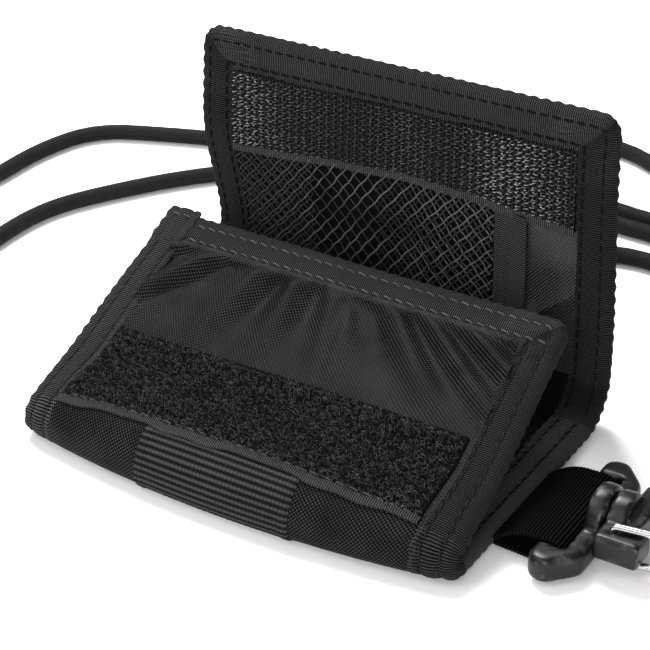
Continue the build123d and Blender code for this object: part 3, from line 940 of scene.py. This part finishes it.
def hook_filaments(low, high, half):
    """The hook tape's rows of bent filaments, which lean to the left and the right by turns."""
    x, s = np.meshgrid(np.arange(-half + 0.8, half - 0.5, HOOK_PITCH), np.arange(low + 1.6, high - 0.5, 0.85))
    x = (x + 0.5 * (np.arange(len(x)) % 2)[:, None]).ravel()
    s = s.ravel()
    count = len(x)
    x = x + RANDOM.normal(0, 0.05, count)
    s = s + RANDOM.normal(0, 0.12, count)
    way = np.where(np.arange(count) % 2 == 0, -1.0, 1.0)[:, None]
    lean = RANDOM.normal(0, 0.06, count)[:, None]
    reach = np.array((0.0, 0.02, 0.06, 0.22, 0.40, 0.45))
    height = np.array((0.0, 0.45, 0.78, 1.0, 0.92, 0.66))
    px = x[:, None] + way * reach + lean * height
    ps = arch(x, s)[:, None] + RANDOM.normal(0, 0.12, count)[:, None] * height
    tall = RANDOM.uniform(0.85, 1.1, count)[:, None] * height
    paths = FLAP.place(px, ps, HOOK_BACK + 0.5 + tall)
    ups = np.broadcast_to(FLAP.place(px, ps + 1, HOOK_BACK) - FLAP.place(px, ps, HOOK_BACK), paths.shape)
    # Painted glints: the filaments are painted lighter in a soft wave across the tape and much lighter over
    # its right part and towards its left end; each is also painted darker towards its root, a painted shade.
    glint = 0.10 + 0.2 * (0.5 + 0.5 * np.sin(x / 5.2 + 1.0))
    glint = glint + 0.95 * dome(x, 12, 56) + 1.4 * dome(x, -72, -30)
    tone = (glint * (0.15 + 1.1 * RANDOM.random(count) ** 1.6))[:, None] * (0.15 + 0.85 * height)
    return tubes("hook_tape_hooks", paths, ups, 0.1, 5, tone, height, "hook_filament")


def hook_tape():
    """The hook tape: a ribbed base, a light selvedge at its lower edge and its filaments."""
    low, high = hook_span()
    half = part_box("hook_tape")[1].x / MM
    x, s = np.meshgrid(steps(-half, half, 0.27), steps(low, high, 0.8), indexing="ij")
    depths = (HOOK_BACK + 0.55 + ripple(x, HOOK_PITCH, 0.07), HOOK_BACK)
    base = relief_sheet("hook_tape_base", FLAP, x, arch(x, s), depths, (x, s), "hook_base")
    x, s = np.meshgrid(steps(-half, half, RIB / 4), steps(low - 0.9, low + 1.1, 0.33), indexing="ij")
    flare = 0.64 * smooth(-x, half - 13, half)
    depths = (HOOK_BACK + 0.9 + ripple(x, RIB, 0.06) + flare, HOOK_BACK + 0.1)
    edge = relief_sheet("hook_tape_selvedge", FLAP, x, arch(x, s), depths, (x, s), "selvedge")
    hooks = hook_filaments(low, high, half)
    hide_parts("hook_tape")
    for thing in (base, edge, hooks):
        bend(thing, FLAP)


def net_strands(x_span, s_span, pitch, way, offset, rise):
    """One family of a net's strands, as equal paths that cross the pocket at 45 degrees."""
    low_x, high_x = x_span
    low_s, high_s = s_span
    length = high_s - low_s
    first = low_x - (length if way > 0 else 0) + offset
    last = high_x + (0 if way > 0 else length)
    # Painted light and shade: one family of strands is darker than the other, each grows lighter past a given
    # x, and each is painted lighter on its crossings, a painted highlight.
    shade, gain, from_x, to_x = (0.2, 0.75, low_x + 4, low_x + 26) if way > 0 else (0.1, 0.7, -5, 18)
    count = 40
    s = np.linspace(low_s, high_s, count)
    paths, tones = [], []
    for start in np.arange(first, last, pitch):
        x = start + way * (s - low_s)
        inside = (x >= low_x) & (x <= high_x)
        if inside.sum() < 3:
            continue
        run = np.linspace(*s[inside][[0, -1]], count)
        x = start + way * (run - low_s)
        bow = 0.8 * dome(x, low_x, high_x) * dome(run, low_s, high_s)
        wander = 0.2 * np.sin(TAU * run / pitch + start) + 0.45 * np.sin(run / 6.0 + start / 9.0)
        crossing = ripple(run, pitch / 2, 1)
        lifted = (arch(x, run) - run) * (run - low_s) / length
        depth = FLAP.thick - 0.05 + rise + bow + 0.10 * crossing
        paths.append(FLAP.place(x + wander, run + lifted, depth))
        tones.append((shade + gain * smooth(x, from_x, to_x)) * (0.25 + 0.75 * crossing ** 2))
    return paths, tones


def pocket_mouth(span):
    """The tape over the mesh pocket's open edge, with two rows of stitches pressed into it."""
    low, high = (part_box("mesh_pocket_binding")[side].x / MM for side in (0, 1))
    x, s = np.meshgrid(low + steps(0, 1, 0.045) * (high - low), steps(*span, RIB / 4))
    stand = 1.15 * smooth(x, low + 3, high)
    ribs = ripple(s, RIB, 0.07)
    groove = sum(hill(x, low + inset, 0.5) for inset in (1.6, 4.4)) * (0.3 - ripple(s, STITCH, 0.15))
    edges = 0.3 * (smooth(x, high - 0.6, high) + smooth(-x, -low - 0.6, -low))
    depths = (FLAP.thick + 0.1 + stand + ribs - groove - edges, FLAP.thick - 0.65 + stand)
    lifted = s + 0.8 * (arch(x, s) - s)
    return relief_sheet("mesh_pocket_tape", FLAP, x, lifted, depths, (s, x), "tape")


def mesh_pocket():
    """The mesh pocket: a knotted diamond net, doubled in places, with a taped mouth."""
    low_x, high_x = (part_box("mesh_pocket")[side].x / MM for side in (0, 1))
    low, high = FLAP.measure("mesh_pocket")
    span = (low, high + 0.6)
    pitch = 4.0
    paths, tones = [], []
    # Each layer of the net: its two ends, its offset, how far it stands out and how bright it is; the two
    # layers further in are painted darker, a painted shade.
    layers = (
        (low_x, high_x, 0.0, 0.0, 1.0),
        (low_x, low_x + 24, 1.5, -0.35, 0.35),
        (-6, high_x, 1.9, -0.4, 0.3),
    )
    for first, last, offset, rise, bright in layers:
        for way in (1, -1):
            more, shades = net_strands((first, last), span, pitch, way, offset, rise + 0.12 * way)
            paths += more
            tones += [bright * shade for shade in shades]
    paths = np.array(paths)
    tone = np.array(tones) * RANDOM.uniform(0.7, 1.0, (len(paths), 1))
    run = np.arange(paths.shape[1]) * 0.9
    ups = np.broadcast_to((0.0, -1.0, 0.1), paths.shape)
    net = tubes("mesh_pocket_net", paths, ups, 0.21, 5, tone, run, "net")
    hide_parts("mesh_pocket")
    tape = pocket_mouth(span)
    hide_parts("mesh_pocket_binding")
    for thing in (net, tape):
        bend(thing, FLAP)


def side_pocket():
    """The coated nylon pocket beside the net, which bulges and creases."""
    low, high = FLAP.measure("side_pocket")
    first, last = (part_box("side_pocket")[side].x / MM for side in (0, 1))
    left, right, top = first - 2.5, last + 1.0, high + 1.2
    x, s = np.meshgrid(steps(left, right, 0.4), steps(low, top, 0.4), indexing="ij")
    bulge = dome(x, first - 6, last + 4)
    above = s - (low + (high - low) * 0.45 + 0.8 * (x - first - 6))
    crease = np.exp(-np.abs(above) / np.where(above > 0, 7.0, 2.2))
    slump = 0.12 * np.sin(s / 4.2 + x / 5)
    raised = bulge * (0.1 + 2.6 * crease + slump)
    depths = (FLAP.thick - 0.35 + raised, FLAP.thick - 0.62)
    pocket = relief_sheet("side_pocket_cloth", FLAP, x, s, depths, (x, s), "coated_nylon")
    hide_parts("side_pocket")
    bend(pocket, FLAP)


def flap_panel():
    """The flap and the back fold: nylon, lining, foam, three tapes and their stitches."""
    length = FLAP.length
    half = FLAP.half
    end = length - FLAP.tape + SHEET_UNDER_TAPE
    things = cloth_layers("flap", FLAP, (SEAM_GAP, end), ("flap_shell", "back_fold_shell"))
    things.append(foam_pad("flap", FLAP))
    things.append(binding("flap_tape_top", "flap_binding", FLAP, "top", (-half, half), FLAP_ROWS))
    # The side tapes use the darker copy of the tape, a painted shade.
    for side, name in ((-1, "left"), (1, "right")):
        things.append(binding(f"flap_tape_{name}", f"back_fold_binding_{name}", FLAP, side,
                              (SEAM_GAP, length), FLAP_ROWS, mitres=(False, True), material="dark_tape"))
    rows = []
    for inset in FLAP_ROWS:
        rows.append(stitch_row(FLAP, "top", (-half + inset, half - inset), inset, BOTH_FACES, slant=0.08))
        for side in (-1, 1):
            rows.append(stitch_row(FLAP, side, (5, length - inset), inset, BOTH_FACES, slant=0.08))
    # The stitches use the darker copy of the thread, a painted shade.
    seams = stitches("flap_stitching", rows, "dark_thread", 0.32)
    for thing in (*things, seams):
        bend(thing, FLAP)


# ---------------------------------------------------------------- cord, tabs, strap and hook

def neck_cord():
    """The neck cord: a round braid along a smooth curve through its route."""
    curve = bpy.data.curves.new("cord_route", "CURVE")
    curve.dimensions = "3D"
    curve.resolution_u = 12
    spline = curve.splines.new("NURBS")
    spline.points.add(len(CORD_ROUTE) - 1)
    for point, place in zip(spline.points, CORD_ROUTE):
        point.co = (*place, 1)
    spline.order_u = 3
    spline.use_endpoint_u = True
    route = bpy.data.objects.new("cord_route", curve)
    line = bpy.data.meshes.new_from_object(route)
    bpy.data.objects.remove(route)
    at, path = respaced(np.array([v.co for v in line.vertices]) / MM, CORD_STEP)
    turn = circle(24)
    strands = 12
    twist = strands * TAU * at[:, None] / BRAID_LAY
    crest = np.maximum(np.cos(strands * turn + twist), np.cos(strands * turn - twist))
    radius = CORD_DIAMETER / 2 - 0.06 + 0.07 * crest
    rings = path[:, None] + radius[:, :, None] * outwards(path, (0, 0, 1), turn)
    cloth = np.stack(np.broadcast_arrays(at[:, None], turn * CORD_DIAMETER / 2), -1)
    cord = ringed("neck_cord_braid", rings, cloth, "cord", 80)
    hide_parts("neck_cord")
    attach(cord, "centre_panel")


def cord_tab(name):
    """A webbing tab that holds one end of the cord: a patch on the back fold and a folded tail."""
    low, high = (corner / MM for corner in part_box(name))
    middle = (low.x + high.x) / 2
    half = (high.x - low.x) / 2
    tall = 2.35
    start = FLAP.start + 6.5
    turn = circle(40)
    y = steps(start, high.y, RIB / 4)
    share = (y - start) / (high.y - start)
    ribs = ripple(y, RIB, 0.07) - 0.5 * smooth(share, 0.96, 1)
    wide = half - 1.3 * smooth(share, 0.3, 1)
    round_x = np.sign(np.cos(turn)) * np.abs(np.cos(turn)) ** 0.55
    round_z = np.sign(np.sin(turn)) * np.abs(np.sin(turn)) ** 0.8
    x = middle + (wide + ribs)[:, None] * round_x
    z = CORD_EXIT[2] / MM + (tall + ribs)[:, None] * round_z
    rings = np.stack(np.broadcast_arrays(x, y[:, None], z), -1)
    cloth = np.stack(np.broadcast_arrays(y[:, None], turn * 3.0), -1)
    tail = ringed(f"{name}_tail", rings, cloth, "tape")
    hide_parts(name)
    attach(tail, "centre_panel")
    x, s = np.meshgrid(steps(middle - half, middle + half, 1.0), steps(5.0, 15.5, RIB / 4))
    depths = (-0.75 - ripple(s, RIB, 0.07), 0.05)
    patch = relief_sheet(f"{name}_patch", FLAP, x, s, depths, (s, x), "tape")
    bend(patch, FLAP)


def key_strap():
    """The key strap: ribbed webbing out of the side seam, round the eye's bar and back."""
    low, high = (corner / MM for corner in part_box("key_strap"))
    joints = {joint["name"]: joint for joint in frame["joints"]}
    bar = [value / MM for value in joints["eye_tilt"]["pos_m"]]
    root = [value / MM for value in joints["strap_flex"]["pos_m"]]
    gauge = 1.3
    ply = 0.7
    radius = high.x - bar[0] - gauge / 2 - 0.05
    seam = root[0] - 1.5
    level = bar[0] - 4.0
    turn = np.linspace(-np.pi / 2, np.pi / 2, 24)
    t = np.linspace(0, 1, 12)[:-1]
    x = seam + t * (level - seam)
    rise = bar[2] - root[2]
    crown = 0.9 * np.sin(np.pi * t)
    lower = np.stack((x, root[2] - ply + t * (rise - radius + ply)), -1)
    round_bar = np.stack((bar[0] + radius * np.cos(turn), bar[2] + radius * np.sin(turn)), -1)
    upper = np.stack((x, root[2] + ply + t * (rise + radius - ply) + crown), -1)
    at, line = respaced(np.concatenate((lower, round_bar, upper[::-1])), STRAP_RIB / 5)
    along = unit(np.gradient(line, axis=0))
    out = np.stack((along[:, 1], -along[:, 0]), -1)
    y = steps(low.y, high.y, 0.6)
    side = high.y - root[1]
    edge = smooth(np.abs(y - root[1]), side - 0.5, side)
    ribs = ripple(at[:, None], STRAP_RIB, 0.11) + ripple(y, 1.2, 0.03) - 0.3 * edge

    def skin(offset):
        """One face of the webbing, at an offset from its middle line."""
        flat = line[:, None] + out[:, None] * offset[:, :, None]
        return np.stack((flat[..., 0], np.broadcast_to(y, offset.shape), flat[..., 1]), -1)

    face = gauge / 2 - 0.1
    outer = skin(face + ribs)
    inner = skin(np.full(ribs.shape, -face))
    cloth = np.stack(np.broadcast_arrays(at[:, None], y), -1)
    strap = solid_sheet("key_strap_webbing", outer, inner, cloth, "strap")
    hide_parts("key_strap")
    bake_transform(strap)


def rounded(node, name, body, material, fineness, rounds):
    """A piece over a CAD node's shape, remeshed and smoothed so that its edges are round."""
    thing = added(name, frame["nodes"][node].data.copy())
    skin = thing.modifiers.new("skin", "REMESH")
    skin.mode = "VOXEL"
    skin.voxel_size = fineness * MM
    soften = thing.modifiers.new("soften", "SMOOTH")
    soften.factor = 0.5
    soften.iterations = rounds
    bpy.context.view_layer.update()
    shaped = thing.evaluated_get(bpy.context.evaluated_depsgraph_get())
    mesh = bpy.data.meshes.new_from_object(shaped)
    thing.modifiers.clear()
    thing.data = mesh
    mesh.shade_smooth()
    mesh.materials.clear()
    mesh.materials.append(MATERIALS[material])
    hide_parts(node)
    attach(thing, body)


def hard_parts():
    """The moulded parts and the wire are rounded. The rivet keeps its shape and gets its own material."""
    rounded("swivel_eye", "swivel_eye_moulding", "eye", "moulded_plastic", 0.35, 45)
    rounded("hook_body", "hook_body_moulding", "hook", "moulded_plastic", 0.3, 24)
    rounded("wire_gate", "wire_gate_wire", "gate", "polished_steel", 0.18, 3)
    recolour("swivel_rivet", "polished_steel")


MATERIALS = make_materials()
add_camera()
add_stage()
neck_cord()
centre_panel()
front_panel()
loop_tape()
fold_band()
flap_panel()
hook_tape()
mesh_pocket()
side_pocket()
cord_tab("cord_tab_left")
cord_tab("cord_tab_right")
key_strap()
hard_parts()

bpy.context.view_layer.update()
